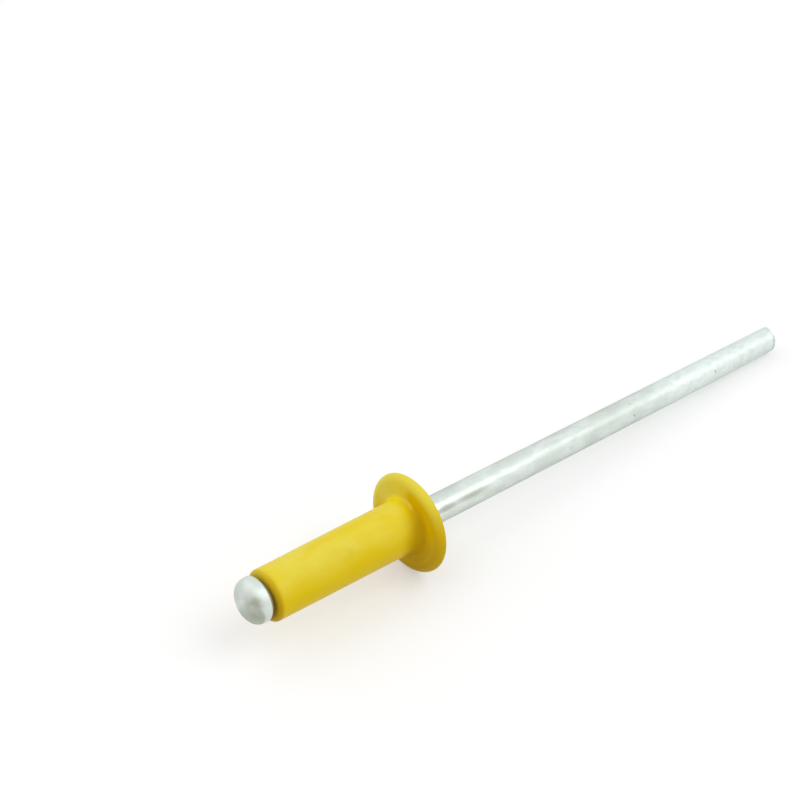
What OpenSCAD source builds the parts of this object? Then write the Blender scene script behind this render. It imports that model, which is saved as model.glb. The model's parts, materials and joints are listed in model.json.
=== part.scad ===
// Blind rivet, unset: a painted tubular body with a domed flange, closed round a headed mandrel.
// It lies as it comes to rest on a table, on its flange's rim and the tail of its mandrel.
// Both pieces are turned shapes. Outlines are lists of [radius, station], where a station is
// measured along the rivet from the flange's seating face, positive towards the tail.

/* [Sleeve] */
// Outside diameter of the sleeve
body_d = 3.2; // [3:0.1:4.2]
// Length of the sleeve, from the flange's seating face to the nose end
body_len = 10.55; // [8:0.05:16]
// Radial clearance of the mandrel's stem in the bore
bore_gap = 0.06; // [0.03:0.01:0.08]
// Rounding of the sleeve's outer edge at the nose end
nose_round = 0.28; // [0.1:0.01:0.3]
// Width of the chamfer that opens the bore at the nose end, where the head's cone rests
mouth_w = 0.11; // [0.06:0.01:0.14]
// Angle of the mouth's cone to the rivet's axis
mouth_angle = 45; // [35:1:60]

/* [Flange] */
// Diameter of the flange
flange_d = 6.35; // [6:0.05:9]
// Thickness of the flange at its rim
rim_t = 0.54; // [0.4:0.01:0.7]
// How far the rounding of the rim's edge reaches in over the seating face
rim_round = 0.46; // [0.1:0.02:0.6]
// Rounding of the rim's edge on the domed side
back_round = 0.16; // [0.1:0.01:0.2]
// Width of the ledge between the rim and the foot of the dome
ledge_w = 0.1; // [0.05:0.01:0.2]
// Height of the dome above the rim, if it had no hole
dome_h = 0.78; // [0.5:0.02:1.2]
// Fillet between the sleeve and the flange's seating face
fillet_r = 0.16; // [0.1:0.01:0.4]
// Clearance round the stem where the hole opens on the dome
back_gap = 0.3; // [0.15:0.01:0.4]
// Depth of the flare that leads from the dome into the bore
flare_h = 0.4; // [0.2:0.02:0.6]

/* [Mandrel] */
// Diameter of the stem
stem_d = 1.8; // [1.78:0.02:1.9]
// Length of the stem, from the flange's seating face to the cut end
stem_len = 34.05; // [25:0.05:40]
// Diameter left at the burnished waist, squeezed in where the stem leaves the flange
waist_d = 1.7; // [1.5:0.02:1.76]
// How far the waist reaches past the hole in the dome
waist_out = 0.93; // [0.5:0.01:1.5]
// Diameter left at the bottom of the break notch
notch_d = 1.2; // [0.9:0.05:1.4]
// Width of the break notch
notch_w = 0.7; // [0.5:0.05:1]
// Width of the flat at the bottom of the break notch
notch_floor_w = 0.18; // [0.1:0.02:0.3]
// Distance of the break notch from the sleeve's nose end
notch_in = 2.4; // [1.6:0.1:4]
// Rounding that the shears rolled on the edge of the cut end
tail_round = 0.12; // [0.1:0.02:0.5]
// Height of the step that the shears left on the rest of the cut end
step_h = 0.12; // [0.08:0.01:0.3]
// How far the step reaches past the stem's axis
step_past = 0.15; // [0:0.05:0.4]
// Direction of the step round the stem, from straight down towards the front
step_turn = 45; // [0:5:70]

/* [Head] */
// Diameter of the mandrel's head
head_d = 2.8; // [2.6:0.05:3.3]
// Height of the head's dome
head_h = 0.9; // [0.7:0.05:1.3]
// Squareness of the dome's outline, where 2 is an ellipse and more gives a fuller shoulder
head_full = 2.6; // [2:0.1:4]
// Height of the plain band between the dome and the cone
head_band = 0.18; // [0.04:0.01:0.3]
// Distance from the sleeve's nose end to the foot of the dome
head_stand = 0.54; // [0.44:0.02:0.8]
// Radial clearance between the head's cone and the sleeve's mouth
seat_gap = 0.02; // [0.01:0.01:0.04]

/* [Hidden] */

// Facets of a turned shape, and steps of a quarter round and of a dome
turn_fn = 96;
round_steps = 8;
dome_steps = 16;
// Overshoot that keeps joined solids from ending on one plane
eps = 0.05;

body_r = body_d / 2;
stem_r = stem_d / 2;
bore_r = stem_r + bore_gap;
mouth_r = bore_r + mouth_w;
mouth_h = mouth_w / tan(mouth_angle);
nose_end = -body_len;

flange_r = flange_d / 2;
rim_rise = rim_t - back_round;
dome_foot_r = flange_r - back_round - ledge_w;
dome_r = cap_radius(dome_foot_r, dome_h);
back_r = stem_r + back_gap;
back_end = rim_t + dome_h - dome_r + sqrt(dome_r * dome_r - back_r * back_r);

head_r = head_d / 2;
head_foot = nose_end - head_stand;
cone_r = mouth_r - seat_gap;
cone_h = (cone_r - stem_r) / tan(mouth_angle);
waist_start = back_end - flare_h;
waist_end = back_end + waist_out;
notch_start = nose_end + notch_in;
notch_flank = (notch_w - notch_floor_w) / 2;
step_end = stem_len + step_h;
step_top = step_past * cos(step_turn) + sqrt(stem_r * stem_r - step_past * step_past) * sin(step_turn);

// Rest: one line touches the rim's rear rounding and the lowest corner of the step at the tail
rim_centre_r = flange_r - back_round;
rest_run = step_end - rim_rise;
rest_drop = rim_centre_r - stem_r;
rest_tilt = atan2(rest_drop, rest_run) + asin(back_round / norm([rest_run, rest_drop]));
rest_lift = stem_r * cos(rest_tilt) + step_end * sin(rest_tilt);
x_low = min([for (p = head_dome()) p[1] * cos(rest_tilt) - p[0] * sin(rest_tilt)]);
x_high = step_end * cos(rest_tilt) + step_top * sin(rest_tilt);

// Radius of the sphere whose cap has a given foot radius and height
function cap_radius(foot_r, h) = (foot_r * foot_r + h * h) / (2 * h);

// Points of an oval arc, as [radius, station], between two angles in degrees
function oval(centre, half_r, half_s, from, to, steps) = [
    for (i = [0 : steps])
        let (a = from + (to - from) * i / steps)
        centre + [half_r * cos(a), half_s * sin(a)]
];

// Points of a round arc
function arc(centre, r, from, to, steps) = oval(centre, r, r, from, to, steps);

// Points of a shallow hollow in a straight side, between two stations
function hollow(side_r, depth, from, to, steps) =
    let (r = cap_radius((to - from) / 2, depth))
    let (half = asin((to - from) / 2 / r))
    arc([side_r - depth + r, (from + to) / 2], r, 180 + half, 180 - half, steps);

// Outline of the tubular body: nose end, sleeve, flange, then back down the bore
function body_outline() = concat(
    [[mouth_r, nose_end]],
    arc([body_r - nose_round, nose_end + nose_round], nose_round, -90, 0, round_steps),
    arc([body_r + fillet_r, -fillet_r], fillet_r, 180, 90, round_steps),
    oval([flange_r - rim_round, rim_rise], rim_round, rim_rise, -90, 0, round_steps),
    arc([rim_centre_r, rim_rise], back_round, 90 / round_steps, 90, round_steps - 1),
    arc(
        [0, rim_t + dome_h - dome_r], dome_r,
        acos(dome_foot_r / dome_r), acos(back_r / dome_r), dome_steps
    ),
    [
        [bore_r, back_end - flare_h],
        [bore_r, nose_end + mouth_h]
    ]
);

// Outline of the head's dome, from its top to its foot
function head_dome() = [
    for (i = [0 : dome_steps])
        let (a = 90 * i / dome_steps)
        [head_r * pow(sin(a), 2 / head_full), head_foot - head_h * pow(cos(a), 2 / head_full)]
];

// Outline of the mandrel: domed head, cone in the sleeve's mouth, break notch, waist and tail
function mandrel_outline() = concat(
    head_dome(),
    [
        [head_r, head_foot + head_band],
        [cone_r, nose_end],
        [stem_r, nose_end + cone_h],
        [stem_r, notch_start],
        [notch_d / 2, notch_start + notch_flank],
        [notch_d / 2, notch_start + notch_w - notch_flank],
        [stem_r, notch_start + notch_w]
    ],
    hollow(stem_r, stem_r - waist_d / 2, waist_start, waist_end, round_steps),
    arc([stem_r - tail_round, stem_len - tail_round], tail_round, 0, 90, round_steps),
    [[0, stem_len]]
);

// Lays a turned shape down at rest, nose up, with the middle of the whole rivet over the origin
module at_rest() {
    translate([-(x_low + x_high) / 2, 0, rest_lift])
        rotate([0, 90 + rest_tilt, 0])
            children();
}

// Painted sleeve and flange, one piece
module rivet_body() {
    color("gold")
        at_rest()
            rotate_extrude($fn = turn_fn)
                polygon(body_outline());
}

// Step on the cut end, where the wire tore off and kept a sharp edge
module tail_step() {
    intersection() {
        translate([0, 0, stem_len - tail_round])
            cylinder(r = stem_r, h = tail_round + step_h, $fn = turn_fn);
        rotate([0, 0, -step_turn])
            translate([-step_past, -stem_d, stem_len - tail_round - eps])
                cube([stem_d, 2 * stem_d, tail_round + step_h + 2 * eps]);
    }
}

// Headed pin that is pulled through the body
module mandrel() {
    color("silver")
        at_rest()
            union() {
                rotate_extrude($fn = turn_fn)
                    polygon(mandrel_outline());
                tail_step();
            }
}

rivet_body();
mandrel();
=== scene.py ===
"""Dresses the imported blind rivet: painted body, plated mandrel, pale floor, soft light and camera.

Lengths are in metres, or in millimetres where a name or a description says so. Turned shapes are
drawn in the rivet's own frame, which is (station, side, up): the station runs along the axis from
the flange's seating face, positive towards the tail of the mandrel.
"""

import json
import logging
import math
import operator
from dataclasses import dataclass, field
from enum import Enum, IntEnum
from functools import reduce

import bpy
import numpy as np
from mathutils import Matrix, Vector, noise


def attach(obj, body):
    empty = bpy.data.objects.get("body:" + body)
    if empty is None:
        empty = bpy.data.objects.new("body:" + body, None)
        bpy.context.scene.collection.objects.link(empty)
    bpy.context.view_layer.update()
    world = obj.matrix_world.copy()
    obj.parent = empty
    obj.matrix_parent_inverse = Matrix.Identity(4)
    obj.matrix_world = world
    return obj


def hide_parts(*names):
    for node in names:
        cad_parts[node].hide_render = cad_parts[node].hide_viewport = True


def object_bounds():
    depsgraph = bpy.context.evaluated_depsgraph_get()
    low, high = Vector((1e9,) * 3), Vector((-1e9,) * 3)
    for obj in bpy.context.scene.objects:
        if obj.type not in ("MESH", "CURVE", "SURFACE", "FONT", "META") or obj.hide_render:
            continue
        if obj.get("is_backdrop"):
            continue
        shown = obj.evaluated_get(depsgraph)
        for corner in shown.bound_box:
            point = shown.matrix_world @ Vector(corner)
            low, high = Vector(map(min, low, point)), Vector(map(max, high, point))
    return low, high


log = logging.getLogger("blind_rivet")

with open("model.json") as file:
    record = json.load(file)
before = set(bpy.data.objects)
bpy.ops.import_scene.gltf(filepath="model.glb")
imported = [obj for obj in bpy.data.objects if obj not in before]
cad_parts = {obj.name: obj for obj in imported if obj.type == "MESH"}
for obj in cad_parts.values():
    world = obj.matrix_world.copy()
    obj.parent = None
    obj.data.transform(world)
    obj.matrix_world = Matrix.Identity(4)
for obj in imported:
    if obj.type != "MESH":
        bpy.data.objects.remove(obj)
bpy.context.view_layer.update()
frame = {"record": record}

# Metres in a millimetre
MM = 0.001
# Less than any real distance in the meshes, in millimetres
TINY = 1e-6

Point2 = tuple[float, float]
Colour = tuple[float, float, float]


class Slot(Enum):
    """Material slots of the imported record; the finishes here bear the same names."""

    PAINT = "yellow_paint"
    ZINC = "zinc_plate"


class Node(Enum):
    """CAD nodes that the pieces stand for."""

    BODY = "rivet_body"
    MANDREL = "mandrel"


class MixSocket(IntEnum):
    """Numbers of the sockets that a Mix node uses for colours."""

    SHARE = 0
    FIRST = 6
    SECOND = 7
    MIXED = 2


@dataclass(frozen=True)
class RivetAxis:
    """Where the rivet's axis lies in the row frame.

    Attributes:
        seat: Centre of the flange's seating face, in metres.
        along: Unit vector along the axis, towards the tail.
        side: Unit vector square to the axis, level.
        up: Unit vector square to the axis, upwards.
    """

    seat: Vector
    along: Vector
    side: Vector
    up: Vector

    @classmethod
    def from_record(cls, record: dict) -> "RivetAxis":
        """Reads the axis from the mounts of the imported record.

        Args:
            record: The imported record.

        Returns:
            The axis, with the seat where the flange's seating plane cuts it.
        """
        mounts = {m["name"]: m for m in record["mounts"]}
        along = Vector(mounts["stem"]["axis"]).normalized()
        on_axis = Vector(mounts["stem"]["pos_m"])
        on_seat = Vector(mounts["flange_seat"]["pos_m"])
        seat = on_axis + along * (on_seat - on_axis).dot(along)
        side = Vector((0.0, 1.0, 0.0))
        return cls(seat, along, side, along.cross(side))

    def to_row(self, local_mm: np.ndarray) -> np.ndarray:
        """Takes rows of (station, side, up) in millimetres to the row frame, in metres."""
        basis = np.array([self.along, self.side, self.up])
        return np.array(self.seat) + (local_mm * MM) @ basis

    def mapping(self) -> tuple[Vector, Vector]:
        """Location and rotation of a Mapping node that takes metres here to local millimetres."""
        turn = Matrix((self.along, self.side, self.up))
        return -(turn @ self.seat) / MM, Vector(turn.to_euler())


def oval(
    centre: Point2, half: Point2, start: float, end: float, steps: int, full: float = 2.0
) -> list[Point2]:
    """Points of an oval arc in an outline.

    Args:
        centre: Station and radius of the oval's centre, in millimetres.
        half: Half its size along the axis and half its size out from it.
        start: First angle in degrees, 0 towards the tail and 90 away from the axis.
        end: Last angle in degrees.
        steps: Number of steps between them.
        full: How squarish it is, where 2 is an ellipse.

    Returns:
        The points as (station, radius).
    """
    angles = np.radians(np.linspace(start, end, steps + 1))
    ways = np.stack([np.cos(angles), np.sin(angles)], axis=1)
    points = np.array(centre) + np.array(half) * np.sign(ways) * np.abs(ways) ** (2.0 / full)
    return [tuple(p) for p in points]


def arc(centre: Point2, radius: float, start: float, end: float, steps: int) -> list[Point2]:
    """Points of a round arc, as oval gives them."""
    return oval(centre, (radius, radius), start, end, steps)


def run(start: Point2, end: Point2, gap: float) -> list[Point2]:
    """Points of a straight stretch, without its two ends and at most this gap apart."""
    steps = max(1, math.ceil(math.dist(start, end) / gap))
    return [
        (start[0] + (end[0] - start[0]) * i / steps, start[1] + (end[1] - start[1]) * i / steps)
        for i in range(1, steps)
    ]


def cap_radius(foot: float, height: float) -> float:
    """Radius of the sphere whose cap has this foot radius and height."""
    return (foot * foot + height * height) / (2 * height)


def smooth(low: float, high: float, value: np.ndarray) -> np.ndarray:
    """Rises smoothly from 0 at low to 1 at high."""
    share = np.clip((value - low) / (high - low), 0.0, 1.0)
    return share * share * (3.0 - 2.0 * share)


def grain(points_mm: np.ndarray, size_mm: float, octaves: int, seed: float) -> np.ndarray:
    """Smooth noise of about -1 to 1 at rows of points, with coarsest grains of this size."""
    shift = Vector((seed, seed * 1.7, seed * 0.3))
    return np.array([noise.fractal(Vector(p) / size_mm + shift, 1.0, 2.0, octaves) for p in points_mm])


@dataclass
class Lathe:
    """Turns an outline into a closed mesh in the rivet's frame.

    Attributes:
        outline: Points as (station, radius), in millimetres.
        segments: Number of points round the axis.
        loop: Whether the outline closes on itself, as a tube's does. An open one starts and
            ends on the axis.
        points: The mesh's points as rows of (station, side, up), in millimetres.
    """

    outline: list[Point2]
    segments: int
    loop: bool
    points: np.ndarray = field(init=False)

    def __post_init__(self) -> None:
        """Places the points of the turned shape."""
        ends = np.array(self.outline if self.loop else self.outline[1:-1])
        station, radius = np.repeat(ends, self.segments, axis=0).T
        angle = np.tile(np.arange(self.segments) * 2 * math.pi / self.segments, len(ends))
        self.points = np.stack([station, radius * np.sin(angle), radius * np.cos(angle)], axis=1)
        if not self.loop:
            poles = [(self.outline[end][0], 0.0, 0.0) for end in (0, -1)]
            self.points = np.vstack([self.points, poles])

    def faces(self) -> list[tuple[int, ...]]:
        """Joins the points by faces, with their fronts outwards.

        Returns:
            Each face as the numbers of its points.
        """
        n = self.segments
        rings = len(self.points) // n
        around = [(k, (k + 1) % n) for k in range(n)]
        bands = [(ring_highlight * n, ring_highlight * n + n) for ring_highlight in range(rings - 1)]
        if self.loop:
            bands.append((rings * n - n, 0))
        made = [(here + k, here + m, there + m, there + k) for here, there in bands for k, m in around]
        if not self.loop:
            pole = rings * n
            made += [(pole, m, k) for k, m in around]
            made += [(pole + 1, pole - n + k, pole - n + m) for k, m in around]
        return made

    def normals(self) -> np.ndarray:
        """Measures which way the surface faces at each point.

        Returns:
            Outward unit normals, as rows of (station, side, up).
        """
        mesh = self.to_mesh("normals_only", None)
        found = np.zeros(len(mesh.vertices) * 3, np.float32)
        mesh.vertices.foreach_get("normal", found)
        bpy.data.meshes.remove(mesh)
        return found.reshape(-1, 3)

    def to_mesh(self, name: str, axis: RivetAxis | None) -> bpy.types.Mesh:
        """Makes a Blender mesh.

        Args:
            name: Name of the mesh.
            axis: Where the rivet lies, or None to keep the rivet's frame and millimetres.

        Returns:
            The mesh, shaded smooth.
        """
        placed = self.points if axis is None else axis.to_row(self.points)
        mesh = bpy.data.meshes.new(name)
        mesh.from_pydata([tuple(p) for p in placed], [], self.faces())
        mesh.validate()
        mesh.shade_smooth()
        return mesh


def add_piece(name: str, mesh: bpy.types.Mesh, stands_for: Node) -> bpy.types.Object:
    """Puts a mesh in the scene as a piece of the rivet.

    Args:
        name: Name of the piece.
        mesh: Its mesh, in the row frame.
        stands_for: The CAD node that it replaces.

    Returns:
        The piece.
    """
    piece = bpy.data.objects.new(name, mesh)
    bpy.context.scene.collection.objects.link(piece)
    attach(piece, "root")
    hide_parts(stands_for.value)
    return piece


class Graph:
    """The nodes of a material or of the world."""

    def __init__(self, tree: bpy.types.NodeTree) -> None:
        """Starts with an empty tree."""
        self.tree = tree
        self.tree.nodes.clear()

    def add(self, kind: str, inputs: dict | None = None, settings: dict | None = None) -> bpy.types.Node:
        """Makes a node.

        Args:
            kind: The node's type.
            inputs: Values or links of its sockets, by name or number.
            settings: Its properties.

        Returns:
            The node.
        """
        made = self.tree.nodes.new(kind)
        for key, value in (settings or {}).items():
            setattr(made, key, value)
        for key, value in (inputs or {}).items():
            socket = made.inputs[key]
            if isinstance(value, Sock):
                self.tree.links.new(value.socket, socket)
            elif socket.type == "RGBA":
                socket.default_value = (*value, 1.0)
            else:
                socket.default_value = value
        return made

    def get(
        self, kind: str, inputs: dict | None = None, settings: dict | None = None, output: str | int = 0
    ) -> "Sock":
        """Makes a node and gives one of its outputs."""
        return Sock(self, self.add(kind, inputs, settings).outputs[output])

    def mix(self, share: "Sock", first: "Sock | Colour", second: Colour) -> "Sock":
        """Mixes two colours, from all of the first at 0 to all of the second at 1."""
        inputs = {MixSocket.SHARE: share, MixSocket.FIRST: first, MixSocket.SECOND: second}
        return self.get(
            "ShaderNodeMix", inputs, {"data_type": "RGBA", "clamp_factor": True}, output=MixSocket.MIXED
        )


@dataclass(frozen=True)
class Sock:
    """An output socket of a graph that can stand in sums. Each sum adds its Math node."""

    graph: Graph
    socket: bpy.types.NodeSocket

    def _math(self, operation: str, first: "Sock | float", second: "Sock | float") -> "Sock":
        """Adds a Math node."""
        return self.graph.get("ShaderNodeMath", {0: first, 1: second}, {"operation": operation})

    def __add__(self, other: "Sock | float") -> "Sock":
        """Sum."""
        return self._math("ADD", self, other)

    __radd__ = __add__

    def __sub__(self, other: "Sock | float") -> "Sock":
        """Difference."""
        return self._math("SUBTRACT", self, other)

    def __rsub__(self, other: float) -> "Sock":
        """Difference, from a number."""
        return self._math("SUBTRACT", other, self)

    def __mul__(self, other: "Sock | float") -> "Sock":
        """Product."""
        return self._math("MULTIPLY", self, other)

    __rmul__ = __mul__

    def __truediv__(self, other: "Sock | float") -> "Sock":
        """Quotient."""
        return self._math("DIVIDE", self, other)

    def __pow__(self, power: float) -> "Sock":
        """Power."""
        return self._math("POWER", self, power)

    def __or__(self, other: "Sock | float") -> "Sock":
        """The greater of the two, which joins two masks."""
        return self._math("MAXIMUM", self, other)

    def clamped(self) -> "Sock":
        """The value held between 0 and 1."""
        return self.graph.get("ShaderNodeClamp", {"Value": self})

    def rise(self, low: float, high: float) -> "Sock":
        """Makes a smooth mask.

        Args:
            low: Value at which it is 0.
            high: Value at which it is 1. The mask falls where this is less than low.

        Returns:
            The mask.
        """
        ends = {"Value": self, "From Min": low, "From Max": high, "To Min": 0.0, "To Max": 1.0}
        if low > high:
            ends |= {"From Min": high, "From Max": low, "To Min": 1.0, "To Max": 0.0}
        return self.graph.get("ShaderNodeMapRange", ends, {"interpolation_type": "SMOOTHSTEP"})


# A tone, and the mask of where it lies
Layer = tuple[Colour, Sock]


@dataclass(frozen=True)
class Mark:
    """A soft mark on a surface, with its place in the rivet's frame. Lengths are in millimetres.

    Attributes:
        station, side, up: Its middle.
        size: How far it reaches round the axis.
        stretch: How many times further it reaches along the axis.
    """

    station: float
    side: float
    up: float
    size: float
    stretch: float = 1.0


class Finish:
    """A material on the rivet, with the parts that every finish here shares.

    Attributes:
        name, material, graph: The material's name, the material and its nodes.
        mark_core: Share of a mark's size over which it has its full strength.
        place: The point that is painted, in the rivet's frame and in millimetres.
        station, side, up: Its three numbers.
        radius: How far it is from the axis.
    """

    name = "finish"
    mark_core = 0.15

    def __init__(self, axis: RivetAxis) -> None:
        """Makes the material and its place in the rivet's frame.

        Args:
            axis: Where the rivet lies.
        """
        self.material = bpy.data.materials.new(self.name)
        self.material.use_nodes = True
        self.graph = Graph(self.material.node_tree)
        location, rotation = axis.mapping()
        coordinates = self.graph.get("ShaderNodeTexCoord", output="Object")
        inputs = {"Vector": coordinates, "Location": location, "Rotation": rotation, "Scale": (1 / MM,) * 3}
        self.place = self.graph.get("ShaderNodeMapping", inputs, {"vector_type": "POINT"})
        numbers = self.graph.add("ShaderNodeSeparateXYZ", {0: self.place}).outputs
        self.station, self.side, self.up = (Sock(self.graph, number) for number in numbers)
        self.radius = (self.side * self.side + self.up * self.up) ** 0.5

    def towards(self, way: Point2) -> Sock:
        """How far the point lies from the axis in a direction, which is given as (side, up)."""
        return self.side * way[0] + self.up * way[1]

    def squeezed(self, squeeze: float) -> Sock:
        """The place with its station multiplied, which draws out along the axis what is put on it."""
        inputs = {0: self.place, 1: (squeeze, 1.0, 1.0)}
        return self.graph.get("ShaderNodeVectorMath", inputs, {"operation": "MULTIPLY"})

    def noise(self, size_mm: float, squeeze: float = 1.0, detail: float = 2.0, rough: float = 0.5) -> Sock:
        """Draws soft grains.

        Args:
            size_mm: Their size across the axis.
            squeeze: Their size across the axis over their size along it.
            detail: Number of finer layers in them.
            rough: Strength of each finer layer over the one before.

        Returns:
            The noise, from 0 to 1.
        """
        where = self.squeezed(squeeze)
        inputs = {"Vector": where, "Scale": 1.0 / size_mm, "Detail": detail, "Roughness": rough}
        return self.graph.get("ShaderNodeTexNoise", inputs, {"noise_dimensions": "3D"}, output="Fac")

    def spots(self, marks: tuple[Mark, ...]) -> Sock:
        """Masks soft marks.

        Args:
            marks: The marks.

        Returns:
            A mask that is 1 in the core of each mark and fades to 0 at its edge.
        """
        masks = []
        for mark in marks:
            squeeze = 1.0 / mark.stretch
            ends = {0: self.squeezed(squeeze), 1: (mark.station * squeeze, mark.side, mark.up)}
            away = self.graph.get("ShaderNodeVectorMath", ends, {"operation": "DISTANCE"}, output="Value")
            masks.append(away.rise(mark.size, self.mark_core * mark.size))
        return reduce(operator.or_, masks)

    def coats(self, base: Colour, layers: list[Layer]) -> Sock:
        """Lays tones over a colour.

        Args:
            base: The colour that they lie on.
            layers: The tones and their masks, from the lowest up.

        Returns:
            The colour with all of them on it.
        """
        colour = base
        for tone, mask in layers:
            colour = self.graph.mix(mask, colour, tone)
        return colour

    def bump(self, height: Sock, depth_mm: float, under: Sock | None = None) -> Sock:
        """Adds relief.

        Args:
            height: Height between 0 and 1.
            depth_mm: Depth that a height of 1 stands for.
            under: The relief that this one lies on.

        Returns:
            The normal.
        """
        inputs = {"Height": height, "Distance": depth_mm * MM, "Strength": 1.0}
        if under is not None:
            inputs["Normal"] = under
        return self.graph.get("ShaderNodeBump", inputs)

    def show(self, inputs: dict) -> bpy.types.Material:
        """Ends the material in a Principled shader.

        Args:
            inputs: Values or links of the shader's sockets, by name.

        Returns:
            The material.
        """
        shader = self.graph.get("ShaderNodeBsdfPrincipled", inputs)
        self.graph.add("ShaderNodeOutputMaterial", {"Surface": shader})
        return self.material


@dataclass(frozen=True)
class PaintTones:
    """Colours, gloss and grain of the yellow paint.

    Attributes:
        main: The paint's own colour.
        pale: A paler tone on worn edges and in soft clouds, also painted as highlights on the upper side,
            high on the rim and along the pool's edge.
        deep: A deeper orange in soft drifts and fine grain, also painted as shade on the low side, in
            corners, on the flange's face and on the nose end.
        full: A fuller yellow, painted as light on top of the collar.
        soot_and_shade: Dark brown, painted as shade in the corner, on the low rim and face, on the nose
            end's lip and in the mouth, and as dirt in the handling marks.
        roughness, gloss: Roughness and specular level of the paint.
        cloud_mm, drift_mm, fine_mm: Sizes of its soft clouds, of smaller ones and of its grain.
        peel_mm, peel_depth_mm: Size and depth of its unevenness.
        ran_and_shaded_to: Which way round the axis the wet paint flowed, which is also the side where shade
            is painted, as (side, up).
        marks: Soft brownish handling marks.
        shade_patches: Darker patches painted as shade on the flange's face.
    """

    main: Colour = (0.79, 0.61, 0.0)
    pale: Colour = (0.80, 0.69, 0.098)
    deep: Colour = (0.72, 0.42, 0.0)
    full: Colour = (0.90, 0.72, 0.0)
    soot_and_shade: Colour = (0.10, 0.065, 0.002)
    roughness: float = 0.36
    gloss: float = 0.08
    cloud_mm: float = 1.9
    drift_mm: float = 0.8
    fine_mm: float = 0.16
    peel_mm: float = 0.40
    peel_depth_mm: float = 0.008
    ran_and_shaded_to: Point2 = (-0.68, -0.73)
    marks: tuple[Mark, ...] = (Mark(-5.46, -1.105, 1.157, 0.6, 1.6),)
    shade_patches: tuple[Mark, ...] = (Mark(0.0, -0.31, 2.23, 0.55),)


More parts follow.
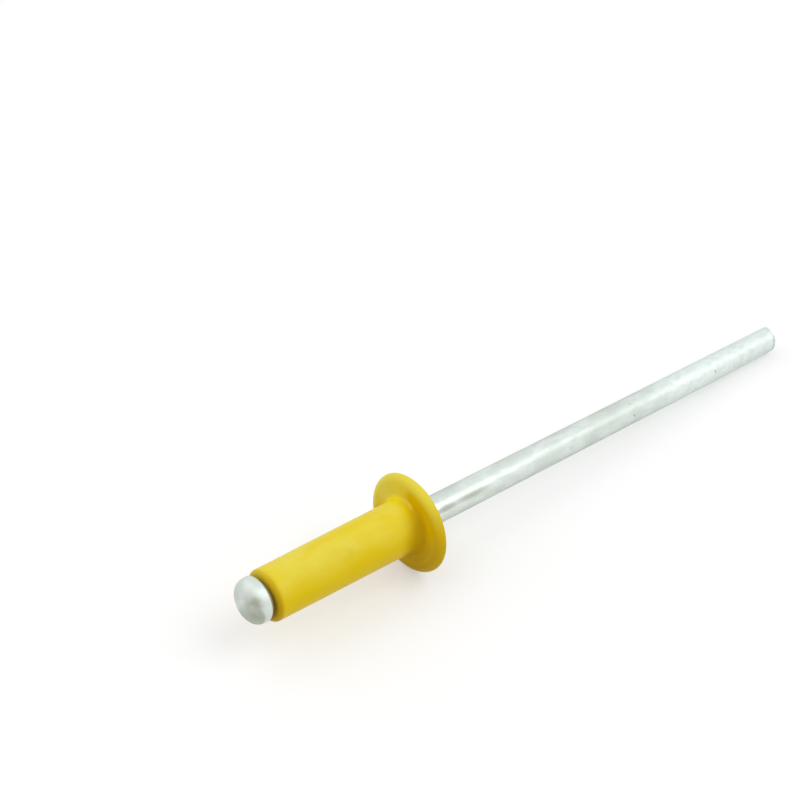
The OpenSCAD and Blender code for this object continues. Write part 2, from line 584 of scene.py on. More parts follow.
class YellowPaint(Finish):
    """Satin yellow paint on aluminium: softly clouded and worn on edges, with painted shade low down and in
    corners, and painted highlights high up.
    """

    name = "yellow_paint"

    def __init__(self, axis: RivetAxis, body: "PaintedBody") -> None:
        """Measures the point from the body's edges, and masks what has more than one use.

        Args:
            axis: Where the rivet lies.
            body: The piece that it covers.
        """
        super().__init__(axis)
        tones = body.tones
        self.tones, self.body = tones, body
        self.cloud = self.noise(tones.cloud_mm, squeeze=0.6)
        self.drift = self.noise(tones.drift_mm, squeeze=0.5)
        self.fine = self.noise(tones.fine_mm, detail=3.0, rough=0.6)
        # how far round the point lies towards where the wet paint flowed, which is also the side where shade
        # is painted, from -1 to 1
        self.ran_and_shaded = self.towards(tones.ran_and_shaded_to) / self.radius
        self.below = self.ran_and_shaded.rise(-0.6, 0.6)
        # its distances from the nose end, out from the foot of the sleeve and in from the rim
        self.from_nose = self.station + body.length
        self.from_collar = self.radius - (body.sleeve_r + body.taper)
        self.in_from_rim = body.flange_r - self.radius
        self.on_face = self.station.rise(0.55, 0.40) * self.in_from_rim.rise(0.1, 0.9)
        # painted shade in the corner under the flange, strongest on the low side
        up_sleeve = (self.station + self.ran_and_shaded.rise(0.0, 0.8) * 0.4).rise(-1.5, -0.15)
        self.corner = up_sleeve * self.from_collar.rise(0.55, 0.12) * self.on_face * self.ran_and_shaded.rise(-0.7, 0.2)
        self.turned_in = self.from_nose.rise(0.46, 0.06)
        edges = self.in_from_rim.rise(0.30, 0.04) | self.turned_in
        self.worn = (edges * self.fine.rise(0.52, 0.70)).clamped()

    def _clouded(self) -> list[Layer]:
        """Lists layers of the paint all over: pale clouds, stronger high up as a painted highlight, and a
        deeper tone low down as painted shade.

        Returns:
            The layers, from the lowest up.
        """
        # painted shade: the paint is deeper on the low side, away from the light
        low_side_shade = self.ran_and_shaded.rise(-0.2, 0.6)
        by_face = self.station.rise(-1.0, -0.3) * self.on_face * self.ran_and_shaded.rise(-0.95, -0.5)
        # painted highlight: the pale clouds are stronger on the upper side
        pale_clouds_and_highlight = (self.cloud.rise(0.30, 0.70) * 0.5 + 0.25) * (1.0 - 0.8 * low_side_shade) * (1.0 - 0.9 * by_face)
        deeper = self.drift.rise(0.56, 0.34) * 0.10 + low_side_shade * 0.22
        return [(self.tones.pale, pale_clouds_and_highlight), (self.tones.deep, deeper)]

    def _on_flange(self) -> list[Layer]:
        """Lists layers of the flange's seating side: painted shade low down, painted highlights high on its
        rim and along the pool's edge, and painted light on the collar.

        Returns:
            The layers, from the lowest up.
        """
        ran_and_shaded, tones = self.ran_and_shaded, self.tones
        low = ran_and_shaded.rise(0.3, 1.0)
        face = self.station.rise(-0.4, -0.02) * self.on_face
        # painted shade on the face, except at its top
        shaded = ran_and_shaded.rise(-1.0, -0.3) * (0.85 - 0.30 * ran_and_shaded.rise(-0.2, 0.8))
        # painted shade on the lower part of the rim
        shaded_low_rim = self.in_from_rim.rise(0.85, 0.45) * ran_and_shaded.rise(-0.5, 0.7)
        # painted highlight high on the rim
        lit_high_rim = self.in_from_rim.rise(0.60, 0.25) * ran_and_shaded.rise(0.1, -0.5)
        # painted highlight: the pool's edge, a bright line that leaves the sleeve as it climbs
        out = self.radius + 0.32 * ran_and_shaded
        line = out.rise(1.52, 1.56) * out.rise(1.67, 1.61)
        meniscus_highlight = self.station.rise(-0.30, -0.16) * line * ran_and_shaded.rise(-0.35, -0.6)
        # painted light: a fuller yellow on top of the collar
        collar = self.station.rise(-1.2, -0.4) * self.from_collar.rise(0.35, 0.20) * self.on_face
        return [
            (tones.deep, face * shaded),
            # painted shade: a darker patch on the flange's face
            (tones.deep, self.spots(tones.shade_patches) * 0.7),
            # painted shade: deeper and duskier in the corner, on the low rim and low on the face
            (tones.deep, self.corner * 0.6 | shaded_low_rim * 0.5),
            (tones.soot_and_shade, self.corner * 0.31 | shaded_low_rim * (0.15 + 0.11 * low) | face * low * 0.20),
            # painted highlights along the pool's edge and high on the rim
            (tones.pale, meniscus_highlight * 0.7 | lit_high_rim * 0.45),
            (tones.full, collar * ran_and_shaded.rise(-0.75, -0.95) * 0.8),
        ]

    def _worn(self) -> list[Layer]:
        """Lists layers of painted shade on the nose end and its lip, worn edges, fine grain, handling marks
        and painted shade in the mouth.

        Returns:
            The layers, from the lowest up.
        """
        tones = self.tones
        # painted shade on the rounded nose end, less on the upper side
        rolled = self.turned_in * (0.25 + 0.42 * self.ran_and_shaded.rise(-0.9, -0.3))
        # painted shade on the lip, next to the head
        lip_shade = self.from_nose.rise(0.36, 0.04) * (0.20 + 0.13 * self.below)
        handled = self.spots(tones.marks) * self.drift.rise(0.30, 0.60)
        # painted shade in the mouth, more on the low side
        inside = self.radius.rise(self.body.sleeve_r - 0.10, self.body.bore_r + 0.25)
        mouth = self.from_nose.rise(0.16, 0.0) * inside
        return [
            (tones.deep, rolled),
            (tones.soot_and_shade, lip_shade),
            (tones.pale, self.worn * 0.15),
            (tones.deep, (self.fine - 0.5) * 0.4),
            (tones.soot_and_shade, handled * 0.12),
            (tones.soot_and_shade, mouth * (0.12 + 0.30 * self.below)),
        ]

    def dress(self) -> bpy.types.Material:
        """Builds the paint.

        Returns:
            The material.
        """
        tones = self.tones
        layers = self._clouded() + self._on_flange() + self._worn()
        rough = tones.roughness + (self.cloud - 0.5) * 0.16 + self.worn * 0.15 + self.corner * 0.35
        peel = self.bump(self.noise(tones.peel_mm), tones.peel_depth_mm)
        return self.show(
            {
                "Base Color": self.coats(tones.main, layers),
                "Roughness": rough.clamped(),
                "Normal": self.bump(self.fine, 0.25 * tones.peel_depth_mm, peel),
                "IOR": 1.5,
                "Specular IOR Level": tones.gloss,
            }
        )


@dataclass(frozen=True)
class ZincTones:
    """Colours, gloss and grain of the plated steel.

    Attributes:
        main, bright, dull: The plating's own colour, its bright clouds and its dull ones.
        pit, grime: Dark pits, and a dark grey painted as shade low on the head and as dark reflections on
            the head and along the wire.
        sleeve_reflection: A yellow reflection of the sleeve, painted on the head's cone in the gap.
        clean: The plating of the wire's far end, brighter in part as a painted highlight, and a painted
            highlight round the head's band.
        edge_on: What it reflects where it is seen edge on.
        shaded_side: Which way round the axis shade is painted on the head, as (side, up); the torn face's
            colour is kept to this side too.
        metal: How much of it is bare metal, the rest being the plating's dull salts.
        satin, burnished: Roughness of the plating, and where it is burnished.
        cloud_mm, patch_mm, salt_mm: Sizes of its bright clouds, its dull clouds and its salts.
        line_mm: Width of the fine lines that drawing left.
        mottle_mm, blotch_mm: Sizes of the mottling of the clean end and of the grime's blotches.
        cloud_depth_mm, salt_depth_mm, pit_depth_mm: Depths of the relief.
        clean_from: Stations between which the brighter far end sets in.
        pits: The dark pits.
        streaks: Dark reflections painted in lines along the wire near the flange.
        smudges, rubbed: A broad dark reflection painted on the head, and a darker spot in it.
    """

    main: Colour = (0.66, 0.73, 0.685)
    bright: Colour = (0.78, 0.83, 0.80)
    dull: Colour = (0.56, 0.62, 0.57)
    pit: Colour = (0.20, 0.22, 0.17)
    shade_and_reflection: Colour = (0.32, 0.335, 0.24)
    sleeve_reflection: Colour = (0.62, 0.50, 0.10)
    clean: Colour = (0.785, 0.86, 0.832)
    edge_on: Colour = (0.50, 0.55, 0.52)
    shaded_side: Point2 = (-0.68, -0.73)
    metal: float = 0.7
    satin: float = 0.40
    burnished: float = 0.22
    cloud_mm: float = 0.55
    patch_mm: float = 1.1
    salt_mm: float = 0.13
    line_mm: float = 0.17
    mottle_mm: float = 0.32
    blotch_mm: float = 0.7
    cloud_depth_mm: float = 0.036
    salt_depth_mm: float = 0.007
    pit_depth_mm: float = 0.02
    clean_from: Point2 = (20.5, 23.5)
    pits: tuple[Mark, ...] = (
        Mark(19.31, -0.260, 0.862, 0.09),
        Mark(19.25, -0.860, 0.265, 0.11),
        Mark(27.45, -0.801, 0.410, 0.12),
        Mark(24.22, -0.741, -0.511, 0.08),
    )
    streaks: tuple[Mark, ...] = (
        Mark(2.7, -0.765, 0.474, 0.26, 5.0),
        Mark(4.7, -0.745, 0.505, 0.28, 7.0),
    )
    broad_dark_reflection: tuple[Mark, ...] = (Mark(-11.80, -0.92, 0.36, 1.15),)
    darker_reflection_spot: tuple[Mark, ...] = (Mark(-11.72, -0.90, 0.74, 0.50),)


class ZincPlate(Finish):
    """Zinc plating on drawn wire: softly clouded, with few pits, burnished at the waist."""

    name = "zinc_plate"

    def __init__(self, axis: RivetAxis, pin: "HeadedMandrel") -> None:
        """Measures the point from the pin's features, and masks what has more than one use.

        Args:
            axis: Where the rivet lies.
            pin: The piece that it covers.
        """
        super().__init__(axis)
        tones = pin.tones
        self.tones, self.pin = tones, pin
        self.cloud = self.noise(tones.cloud_mm, squeeze=0.40, rough=0.45)
        self.patch = self.noise(tones.patch_mm, squeeze=0.35)
        self.salt = self.noise(tones.salt_mm, detail=3.0, rough=0.6)
        # the point's distance from the foot of the head's dome, and how far it lies towards the side where
        # shade is painted
        self.from_foot = self.station - (pin.nose - pin.head_stand)
        self.lower = self.towards(tones.shaded_side)
        self.low_front = self.lower.rise(-0.45, 0.60)
        self.on_head = self.from_foot.rise(0.3, 0.1)
        from_flange = self.station.rise(pin.waist[0], pin.waist[0] + 0.1)
        self.on_waist = from_flange * self.station.rise(pin.waist[1] + 1.6, pin.waist[1])
        self.plain = 1.0 - self.on_waist
        # the wire's brighter far end, its brightness partly a painted highlight
        self.clean_and_lit_end = self.station.rise(*tones.clean_from)
        past_cut = self.station - self.towards(pin.lean()) - pin.stem_end
        self.torn = past_cut.rise(-0.26, -0.14) * self.low_front.rise(0.05, 0.35)
        self.pitted = self.spots(tones.pits)

    def _plated(self) -> list[Layer]:
        """Lists layers of the plating all over: clouds, salts and the lines that drawing left.

        Returns:
            The layers, from the lowest up.
        """
        tones = self.tones
        lines = self.noise(tones.line_mm, squeeze=0.05)
        return [
            (tones.bright, self.cloud.rise(0.44, 0.64) * 0.75),
            (tones.dull, self.patch.rise(0.54, 0.34) * 0.5 * self.plain),
            (tones.dull, self.salt.rise(0.50, 0.32) * 0.3 * self.plain),
            (tones.dull, lines.rise(0.56, 0.70) * 0.15),
        ]

    def _on_head(self) -> list[Layer]:
        """Lists layers of the head: dull on top, a painted highlight round its band, painted shade low down,
        painted dark reflections, and a painted yellow reflection in the gap behind.

        Returns:
            The layers, from the lowest up.
        """
        tones, pin = self.tones, self.pin
        on_dome = (self.from_foot - self.lower.rise(0.3, 1.2) * 0.2).rise(-0.40, -0.60)
        # painted highlight round the head's band, weaker at its upper back
        ring_highlight = (self.on_head - on_dome) * (0.15 + 0.70 * self.lower.rise(-1.0, -0.1))
        blotch = self.noise(tones.blotch_mm).rise(0.30, 0.66)
        behind = self.from_foot.rise(pin.head_band, pin.head_band + 0.1)
        # painted yellow reflection of the sleeve on the head's cone, in the gap
        in_gap = behind * self.station.rise(pin.nose + 0.3, pin.nose + 0.1)
        return [
            (tones.dull, self.on_head * self.lower.rise(-0.2, -1.0) * 0.5),
            (tones.clean, ring_highlight),
            # painted shade on the low front of the head's dome
            (tones.shade_and_reflection, on_dome * self.low_front * (0.25 + 0.45 * self.patch)),
            # painted dark reflections on the front of the head's dome
            (tones.shade_and_reflection, self.spots(tones.broad_dark_reflection) * (0.25 + 0.40 * blotch)),
            (tones.shade_and_reflection, self.spots(tones.darker_reflection_spot) * (0.40 + 0.35 * blotch)),
            (tones.sleeve_reflection, in_gap * 0.6),
        ]

    def _on_wire(self) -> list[Layer]:
        """Lists layers of the wire: brighter at its far end, partly as a painted highlight, with painted
        dark reflections near the flange, pitted and torn.

        Returns:
            The layers, from the lowest up.
        """
        tones = self.tones
        mottled = self.noise(tones.mottle_mm, squeeze=0.6, detail=3.0, rough=0.6).rise(0.36, 0.60)
        return [
            (tones.clean, self.clean_and_lit_end * (0.48 + 0.50 * mottled)),
            # painted dark reflections in lines along the wire near the flange
            (tones.shade_and_reflection, self.spots(tones.streaks) * (0.40 + 0.4 * self.cloud)),
            (tones.pit, self.pitted * 0.75),
            (tones.pit, self.torn * self.salt.rise(0.25, 0.55) * 0.34),
        ]

    def dress(self) -> bpy.types.Material:
        """Builds the plating.

        Returns:
            The material.
        """
        tones = self.tones
        layers = self._plated() + self._on_head() + self._on_wire()
        rough = tones.satin + (self.salt - 0.5) * 0.16
        rough = rough + self.torn * 0.1 + self.on_head * 0.14 + self.clean_and_lit_end * 0.04
        rough = rough * self.plain + tones.burnished * self.on_waist
        relief = self.bump(self.cloud * (1.0 - 0.5 * self.clean_and_lit_end), tones.cloud_depth_mm)
        relief = self.bump(self.salt * self.plain, tones.salt_depth_mm, relief)
        relief = self.bump(1.0 - self.pitted, tones.pit_depth_mm, relief)
        return self.show(
            {
                "Base Color": self.coats(tones.main, layers),
                "Metallic": tones.metal - 0.3 * self.on_head,
                "Specular Tint": tones.edge_on,
                "Roughness": rough.clamped(),
                "Normal": relief,
            }
        )


@dataclass
class PaintedBody:
    """The painted sleeve and its domed flange, one piece. Lengths are in millimetres.

    Attributes:
        sleeve_r, length: Radius and length of the sleeve.
        bore_r, mouth: Radius of the bore, and width of the chamfer that opens it at the nose.
        nose_round: Rounding of the nose end's outer edge.
        flange_r, rim: Radius of the flange, and its thickness at the rim.
        rim_round: How far the rim's rounding reaches in over the seating face.
        back_round: Rounding of the rim's edge on the domed side.
        ledge, dome: Width of the ledge at the foot of the dome, and the dome's full height.
        hole_r, flare: Radius of the dome's hole, and depth of the flare from it to the bore.
        fillet, fillet_ran: The paint's fillet under the flange, and its radius on the side where the wet
            paint flowed.
        corner_reach: How far out of the corner the surface is drawn by the wider fillet.
        taper, rise: How much thicker the sleeve is at the flange, and how far it stands up there.
        swell, peel: Heights of the paint's broad swells and of its fine unevenness.
        segments: Number of points round the axis.
        tones: The paint's colours, gloss and grain.
    """

    sleeve_r: float
    length: float = 10.55
    bore_r: float = 0.96
    mouth: float = 0.11
    nose_round: float = 0.28
    flange_r: float = 3.175
    rim: float = 0.54
    rim_round: float = 0.46
    back_round: float = 0.16
    ledge: float = 0.1
    dome: float = 0.78
    hole_r: float = 1.2
    flare: float = 0.4
    fillet: float = 0.25
    fillet_ran: float = 0.50
    corner_reach: float = 1.2
    taper: float = 0.075
    rise: float = 0.035
    swell: float = 0.010
    peel: float = 0.003
    segments: int = 160
    tones: PaintTones = field(default_factory=PaintTones)

    def outline(self) -> list[Point2]:
        """Draws the closed outline, from the mouth out over the sleeve and flange and back down the bore.

        Returns:
            The points as (station, radius).
        """
        nose, r = -self.length, self.sleeve_r
        collar = r + self.taper
        mouth_r = self.bore_r + self.mouth
        foot = self.flange_r - self.back_round - self.ledge
        dome_r = cap_radius(foot, self.dome)
        centre = self.rim + self.dome - dome_r
        hole = centre + math.sqrt(dome_r**2 - self.hole_r**2)
        bore_start = (hole - self.flare, self.bore_r)
        rim_from = self.rim - self.back_round
        face_in, face_out = (0.0, collar + self.fillet), (0.0, self.flange_r - self.rim_round)
        sleeve_in, sleeve_out = (nose + self.nose_round, r), (-self.fillet, collar)
        angle = [math.degrees(math.acos(x / dome_r)) for x in (foot, self.hole_r)]
        return [
            (nose, mouth_r),
            *run((nose, mouth_r), (nose, r - self.nose_round), gap=0.05),
            *arc((nose + self.nose_round, r - self.nose_round), self.nose_round, 180, 90, steps=10),
            *run(sleeve_in, sleeve_out, gap=0.09),
            *arc((-self.fillet, collar + self.fillet), self.fillet, -90, 0, steps=10),
            *run(face_in, face_out, gap=0.04),
            *oval((rim_from, face_out[1]), (rim_from, self.rim_round), 180, 90, steps=14),
            *arc((rim_from, self.flange_r - self.back_round), self.back_round, 90, 0, steps=8)[1:],
            *arc((centre, 0.0), dome_r, 90 - angle[0], 90 - angle[1], steps=30),
            *run((hole, self.hole_r), bore_start, gap=0.06),
            bore_start,
            *run(bore_start, (nose + self.mouth, self.bore_r), gap=0.5),
            (nose + self.mouth, self.bore_r),
        ]

    def pool_in_corner(self, lathe: Lathe) -> None:
        """Widens the paint's fillet at the flange on the side that the wet paint flowed to.

        Args:
            lathe: The turned body, whose points are moved.
        """
        station, side, up = lathe.points.T
        radius = np.hypot(side, up)
        reach, out = self.corner_reach, radius - (self.sleeve_r + self.taper)
        ran_and_shaded = (side * self.tones.ran_and_shaded_to[0] + up * self.tones.ran_and_shaded_to[1]) / radius
        wider = (self.fillet_ran - self.fillet) * smooth(-0.6, 0.5, ran_and_shaded)
        near = (station < TINY) & (-station < reach) & (out < reach) & (radius > self.sleeve_r)

        def drawn(away: np.ndarray) -> np.ndarray:
            """How much further from the corner the points at these distances come to lie."""
            return near * wider * np.minimum(away / self.fillet, (reach - away) / (reach - self.fillet))

        outwards = drawn(np.maximum(out, 0.0))
        lathe.points[:, 0] -= drawn(-station)
        lathe.points[:, 1:] *= (1.0 + outwards / radius)[:, None]

    def uneven(self, lathe: Lathe) -> None:
        """Gives the paint its swells, and sets the sleeve a little high near the flange.

        Args:
            lathe: The turned body, whose points are moved.
        """
        station, side, up = lathe.points.T
        radius = np.hypot(side, up)
        outside = (radius > self.sleeve_r - 0.5) | (station > self.rim)
        on_sleeve = outside * smooth(-self.length, -2.0, station) * smooth(0.0, 0.5, -station)
        swell = self.swell * grain(lathe.points, size_mm=2.5, octaves=2, seed=3.1)
        peel = self.peel * grain(lathe.points, size_mm=0.5, octaves=2, seed=7.7)
        lathe.points += lathe.normals() * ((swell + peel) * outside)[:, None]
        lathe.points[:, 2] += self.rise * on_sleeve

    def build(self, axis: RivetAxis) -> bpy.types.Object:
        """Builds and dresses the piece.

        Args:
            axis: Where the rivet lies.

        Returns:
            The piece.
        """
        lathe = Lathe(self.outline(), self.segments, loop=True)
        self.pool_in_corner(lathe)
        self.uneven(lathe)
        mesh = lathe.to_mesh("painted_body", axis)
        mesh.materials.append(YellowPaint(axis, self).dress())
        return add_piece("painted_body", mesh, Node.BODY)


@dataclass
class HeadedMandrel:
    """The headed steel pin. Lengths are in millimetres, and stations are on the rivet's axis.

    Attributes:
        stem_r, stem_end: Radius of the stem, and station of its cut end.
        waist, waist_r: Ends of the burnished waist, and the radius left between them.
        notch, notch_r, notch_floor: Ends of the break notch, and radius and width of its floor.
        nose, cone_r: Station of the sleeve's nose end, and radius of the head's cone there.
        head_r, head_dome, head_full: The head's radius, and its dome's height and squareness.
        head_band: Height of the plain band between the dome and the cone.
        head_stand: Distance from the nose end to the foot of the dome.
        head_off: How far the head sits off the axis, as (side, up).
        tail_round: Rounding that the shears rolled on the edge of the cut end.
        step, step_past: Height of the torn step, and how far it reaches past the axis.
        step_turn: Its direction, in degrees from straight down towards the front.
        step_wall: Share of the tail's rounding that its wall takes up.
        ragged, roughness: Raggedness of the step's edge, and roughness of the torn face.
        slant, pinch: Slope of the cut, and how far the tail is drawn in on its low side.
        slant_turn, pinch_turn: Their directions, in degrees from straight up to the front.
        slant_reach, pinch_reach: How far back from the cut end each of them fades out.
        segments: Number of points round the axis.
        tones: The plating's colours, gloss and grain.
    """

    stem_r: float
    stem_end: float = 34.22
    waist: Point2 = (0.7953, 2.1253)
    waist_r: float = 0.85
    notch: Point2 = (-8.15, -7.45)
    notch_r: float = 0.6
    notch_floor: float = 0.18
    nose: float = -10.55
    cone_r: float = 1.05
    head_r: float = 1.4
    head_dome: float = 0.9
    head_full: float = 2.6
    head_band: float = 0.14
    head_stand: float = 0.54
    head_off: Point2 = (0.029, 0.08)
    tail_round: float = 0.12
    step: float = 0.04
    step_past: float = 0.15
    step_turn: float = 45.0
    step_wall: float = 0.625
    ragged: float = 0.04
    roughness: float = 0.012
    slant: float = 0.40
    pinch: float = 0.09
    slant_turn: float = -94.0
    pinch_turn: float = 137.0
    slant_reach: float = 1.5
    pinch_reach: float = 7.0
    segments: int = 120
    tones: ZincTones = field(default_factory=ZincTones)

    def outline(self) -> list[Point2]:
        """Draws the open outline, from the top of the head to the middle of the cut end.

        Returns:
            The points as (station, radius).
        """
        r, foot = self.stem_r, self.nose - self.head_stand
        flank = (self.notch[1] - self.notch[0] - self.notch_floor) / 2
        band, seat = (foot + self.head_band, self.head_r), (self.nose, self.cone_r)
        stem = (self.nose + self.cone_r - r, r)
        middle, half = sum(self.waist) / 2, (self.waist[1] - self.waist[0]) / 2
        hollow = cap_radius(half, r - self.waist_r)
        turn = math.degrees(math.asin(half / hollow))
        tail = (self.stem_end - self.tail_round, r)
        cap_edge = (self.stem_end, r - self.tail_round)
        return [
            *oval((foot, 0.0), (self.head_dome, self.head_r), 180, 90, steps=40, full=self.head_full),
            *run((foot, self.head_r), band, gap=0.05),
            band,
            *run(band, seat, gap=0.05),
            seat,
            *run(seat, stem, gap=0.1),
            stem,
            (self.notch[0], r),
            (self.notch[0] + flank, self.notch_r),
            (self.notch[1] - flank, self.notch_r),
            (self.notch[1], r),
            *run((self.notch[1], r), (self.waist[0], r), gap=0.5),
            *arc((middle, self.waist_r + hollow), hollow, -90 - turn, -90 + turn, steps=24),
            *run((self.waist[1], r), tail, gap=0.11),
            *arc((tail[0], cap_edge[1]), self.tail_round, 90, 0, steps=12),
            *run(cap_edge, (self.stem_end, 0.0), gap=0.03),
            (self.stem_end, 0.0),
        ]

    def shift_head(self, lathe: Lathe) -> None:
        """Sets the head a little off the stem's axis, as the heading die left it.

        Args:
            lathe: The turned mandrel, whose points are moved.
        """
        reach = self.head_stand - self.head_band
        share = smooth(0.0, reach, self.nose - lathe.points[:, 0])
        lathe.points[:, 1] += share * self.head_off[0]
        lathe.points[:, 2] += share * self.head_off[1]

    def lean(self) -> Point2:
        """How much further along the cut lies for each millimetre to the (side, up) of the axis."""
        turn = math.radians(self.slant_turn)
        return -self.slant * math.sin(turn), self.slant * math.cos(turn)

    def tear(self, lathe: Lathe) -> None:
        """Raises a ragged step on part of the cut end, where the wire tore off.

        Args:
            lathe: The turned mandrel, whose points are moved.
        """
        station, side, up = lathe.points.T
        radius = np.hypot(side, up)
        turn = math.radians(self.step_turn)
        towards = -up * math.cos(turn) - side * math.sin(turn)
        towards = towards + self.ragged * grain(lathe.points, size_mm=0.25, octaves=3, seed=11.3)
        start, edge = self.stem_end - self.tail_round, self.stem_r - self.tail_round
        share = smooth(-self.step_past - 0.06, -self.step_past + 0.06, towards) * (station > start + TINY)
        on_round = radius > edge + TINY
        # how far each point has come along the tail's rounding, as a share of it
        bend = np.degrees(np.arctan2(station - start, np.maximum(radius - edge, TINY))) / 90.0
        bend = np.where(on_round, bend, 1.0)
        up_wall = np.clip(bend / self.step_wall, 0.0, 1.0)
        over_top = np.clip((bend - self.step_wall) / (1.0 - self.step_wall), 0.0, 1.0)
        raised = start + (self.tail_round + self.step) * up_wall - station
        widened = np.where(on_round, self.stem_r - self.tail_round * over_top - radius, 0.0)
        rough = self.roughness * grain(lathe.points, size_mm=0.12, octaves=3, seed=5.9)
        lathe.points[:, 0] += share * (raised + rough * smooth(0.9, 1.0, bend))
        lathe.points[:, 1:] *= (1.0 + share * widened / np.maximum(radius, TINY))[:, None]

    def shear(self, lathe: Lathe) -> None:
        """Leaves the cut end slanted, drawn in on its low side and torn off in a ragged step.

        Args:
            lathe: The turned mandrel, whose points are moved.
        """
        station, side, up = lathe.points.T
        start = self.stem_end - self.tail_round
        lean_side, lean_up = self.lean()
        leaning = smooth(start - self.slant_reach, start, station) * (side * lean_side + up * lean_up)
        turn = math.radians(self.pinch_turn)
        low = np.clip((up * math.cos(turn) - side * math.sin(turn)) / self.stem_r, 0.0, 1.0)
        narrowed = self.pinch / self.stem_r * low * smooth(start - self.pinch_reach, start, station)
        self.tear(lathe)
        lathe.points[:, 0] += leaning
        lathe.points[:, 1:] *= (1.0 - narrowed)[:, None]

    def build(self, axis: RivetAxis) -> bpy.types.Object:
        """Builds and dresses the piece.

        Args:
            axis: Where the rivet lies.

        Returns:
            The piece.
        """
        lathe = Lathe(self.outline(), self.segments, loop=False)
        self.shift_head(lathe)
        self.shear(lathe)
        mesh = lathe.to_mesh("headed_mandrel", axis)
        mesh.materials.append(ZincPlate(axis, self).dress())
        return add_piece("headed_mandrel", mesh, Node.MANDREL)


@dataclass(frozen=True)
class Softbox:
    """A soft square lamp that points at the rivet.

    Attributes:
        azimuth, elevation: Degrees round from -Y and above the horizon that it hangs at.
        distance, size: How far off it hangs, and its side, in metres.
        power: Its power, in watts.
        name, colour: Its name, and the colour of its light.
    """

    name: str
    azimuth: float
    elevation: float
    distance: float
    size: float
    power: float
    colour: Colour = (1.0, 1.0, 1.0)

    def place(self, centre: Vector) -> None:
        """Hangs the lamp.

        Args:
            centre: What it points at, in metres.
        """
        data = bpy.data.lights.new(self.name, "AREA")
        data.shape = "SQUARE"
        data.size = self.size
        data.energy = self.power
        data.color = self.colour
        lamp = bpy.data.objects.new(self.name, data)
        a, e = math.radians(self.azimuth), math.radians(self.elevation)
        back = Vector((math.sin(a) * math.cos(e), -math.cos(a) * math.cos(e), math.sin(e)))
        lamp.location = centre + back * self.distance
        lamp.rotation_mode = "QUATERNION"
        lamp.rotation_quaternion = back.to_track_quat("Z", "Y")
        bpy.context.scene.collection.objects.link(lamp)


@dataclass(frozen=True)
class Studio:
    """Pale floor, pale surroundings and soft lamps.

    Attributes:
        floor_half: Half the floor's side, in metres.
        surround: Strength of the light from all round.
        seen: Strength of the background that the camera and the metal see.
        floor_bounce: Colour that the floor gives back to the rivet.
        floor_seen: Colour of the floor that the camera sees.
        floor_glow: Light that is added to the floor that the camera sees.
        lamps: The soft lamps.
    """

    floor_half: float = 2.0
    surround: float = 0.60
    seen: float = 1.0
    floor_bounce: Colour = (0.78, 0.76, 0.70)
    floor_seen: Colour = (0.62, 0.62, 0.62)
    floor_glow: float = 0.38
    lamps: tuple[Softbox, ...] = (
        Softbox("front", 30.0, 55.0, 0.6, 0.4, 1.15),
        Softbox("behind", -140.0, 52.0, 0.9, 1.2, 3.2),
    )

    @staticmethod
    def _seen_ray(graph: Graph) -> Sock:
        """Masks the rays that show the background and the floor to the camera.

        Args:
            graph: The nodes that it is made in.

        Returns:
            1 for rays from the camera and for those that metal reflects or glass lets through.
        """
        path = graph.add("ShaderNodeLightPath")
        rays = [Sock(graph, path.outputs[f"Is {kind} Ray"]) for kind in ("Camera", "Glossy", "Transmission")]
        return (rays[0] + rays[1] + rays[2]).clamped()

    def build(self) -> None:
        """Lays the floor, sets the surroundings and hangs the lamps."""
        self._lay_floor()
        self._set_surroundings()
        low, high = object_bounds()
        for lamp in self.lamps:
            lamp.place((low + high) / 2)

    def _lay_floor(self) -> None:
        """Lays a large square floor under the rivet, with its own finish."""
        h = self.floor_half
        mesh = bpy.data.meshes.new("floor")
        mesh.from_pydata([(-h, -h, 0), (h, -h, 0), (h, h, 0), (-h, h, 0)], [], [(0, 1, 2, 3)])
        floor = bpy.data.objects.new("floor", mesh)
        bpy.context.scene.collection.objects.link(floor)
        floor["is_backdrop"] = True
        material = bpy.data.materials.new("pale_floor")
        material.use_nodes = True
        g = Graph(material.node_tree)
        bounce = g.get("ShaderNodeBsdfDiffuse", {"Color": self.floor_bounce})
        matte = g.get("ShaderNodeBsdfDiffuse", {"Color": self.floor_seen})
        glow = g.get("ShaderNodeEmission", {"Color": (1.0, 1.0, 1.0), "Strength": self.floor_glow})
        shown = g.get("ShaderNodeAddShader", {0: matte, 1: glow})
        either = g.get("ShaderNodeMixShader", {0: self._seen_ray(g), 1: bounce, 2: shown})
        g.add("ShaderNodeOutputMaterial", {"Surface": either})
        mesh.materials.append(material)

    def _set_surroundings(self) -> None:
        """Lights the rivet evenly from all round, in front of a white background."""
        world = bpy.data.worlds.new("studio")
        world.use_nodes = True
        bpy.context.scene.world = world
        g = Graph(world.node_tree)
        white = (1.0, 1.0, 1.0)
        light = g.get("ShaderNodeBackground", {"Color": white, "Strength": self.surround})
        backdrop = g.get("ShaderNodeBackground", {"Color": white, "Strength": self.seen})
        either = g.get("ShaderNodeMixShader", {0: self._seen_ray(g), 1: light, 2: backdrop})
        g.add("ShaderNodeOutputWorld", {"Surface": either})


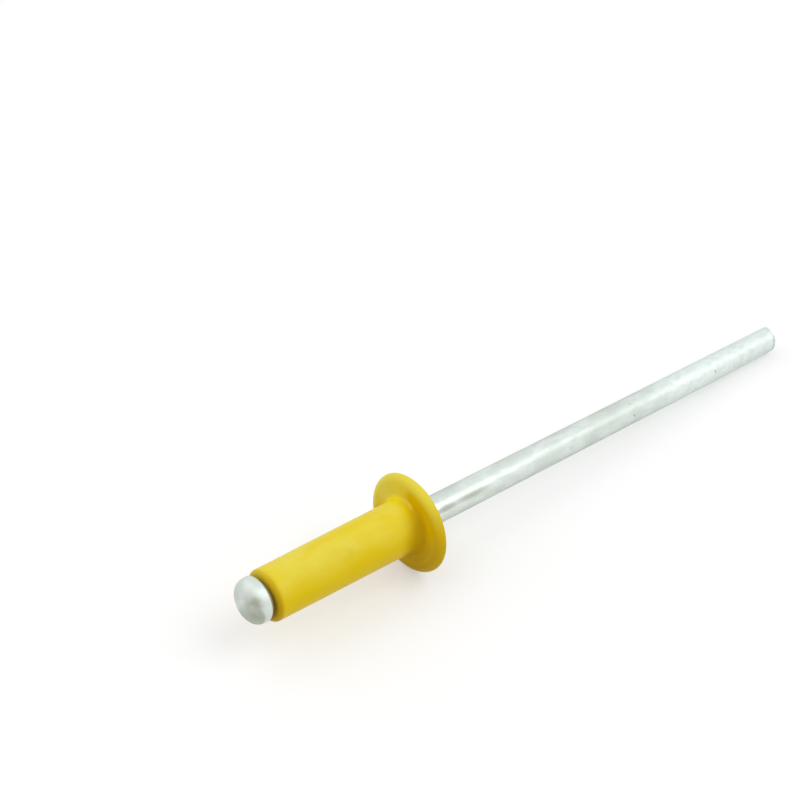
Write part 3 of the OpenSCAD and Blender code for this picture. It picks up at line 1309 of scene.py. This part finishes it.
@dataclass(frozen=True)
class PhotoCamera:
    """A camera with the photograph's viewing angle and framing.

    Attributes:
        azimuth: Direction that it looks in, in degrees round from +Y.
        elevation: Degrees that it stands above the horizon.
        focal_px: Focal length, in pixels of the picture.
        picture_px: Side of the square picture.
        seat_px: Pixel where the middle of the flange's seating face falls.
        seat_depth: Distance to it along the line of sight, in metres.
        sensor: Width of the sensor, in millimetres.
        clip: Nearest and furthest distances that it sees, in metres.
    """

    azimuth: float = -41.11
    elevation: float = 37.10
    focal_px: float = 1719.0
    picture_px: float = 800.0
    seat_px: Point2 = (404.15, 524.45)
    seat_depth: float = 0.102165
    sensor: float = 36.0
    clip: Point2 = (0.005, 20.0)

    def build(self, axis: RivetAxis) -> None:
        """Stands the camera so that the flange falls where the picture has it.

        Args:
            axis: Where the rivet lies.
        """
        a, e = math.radians(self.azimuth), math.radians(self.elevation)
        right = Vector((math.cos(a), math.sin(a), 0.0))
        ahead = Vector((-math.sin(a) * math.cos(e), math.cos(a) * math.cos(e), -math.sin(e)))
        down = ahead.cross(right)
        middle = (self.picture_px - 1.0) / 2
        across = [(p - middle) / self.focal_px * self.seat_depth for p in self.seat_px]
        data = bpy.data.cameras.new("photo_camera")
        data.sensor_fit = "HORIZONTAL"
        data.sensor_width = self.sensor
        data.lens = self.focal_px / self.picture_px * self.sensor
        data.clip_start, data.clip_end = self.clip
        camera = bpy.data.objects.new("photo_camera", data)
        camera.matrix_world = Matrix((right, -down, -ahead)).transposed().to_4x4()
        camera.location = axis.seat - right * across[0] - down * across[1] - ahead * self.seat_depth
        bpy.context.scene.collection.objects.link(camera)
        bpy.context.scene.camera = camera


def write_sizes() -> None:
    """Brings the view layer up to date."""
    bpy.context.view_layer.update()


def main() -> None:
    """Builds the camera, the rivet's pieces and the studio, in that order."""
    logging.basicConfig(level=logging.INFO)
    record = frame["record"]
    axis = RivetAxis.from_record(record)
    radius = {m["name"]: m["dims"].get("r_mm") for m in record["mounts"]}
    PhotoCamera().build(axis)
    for part in (PaintedBody(sleeve_r=radius["sleeve"]), HeadedMandrel(stem_r=radius["stem"])):
        piece = part.build(axis)
        log.info("%s: %d faces", piece.name, len(piece.data.polygons))
    Studio().build()
    bpy.context.scene.view_settings.view_transform = "Standard"
    write_sizes()


if __name__ == "__main__":
    main()
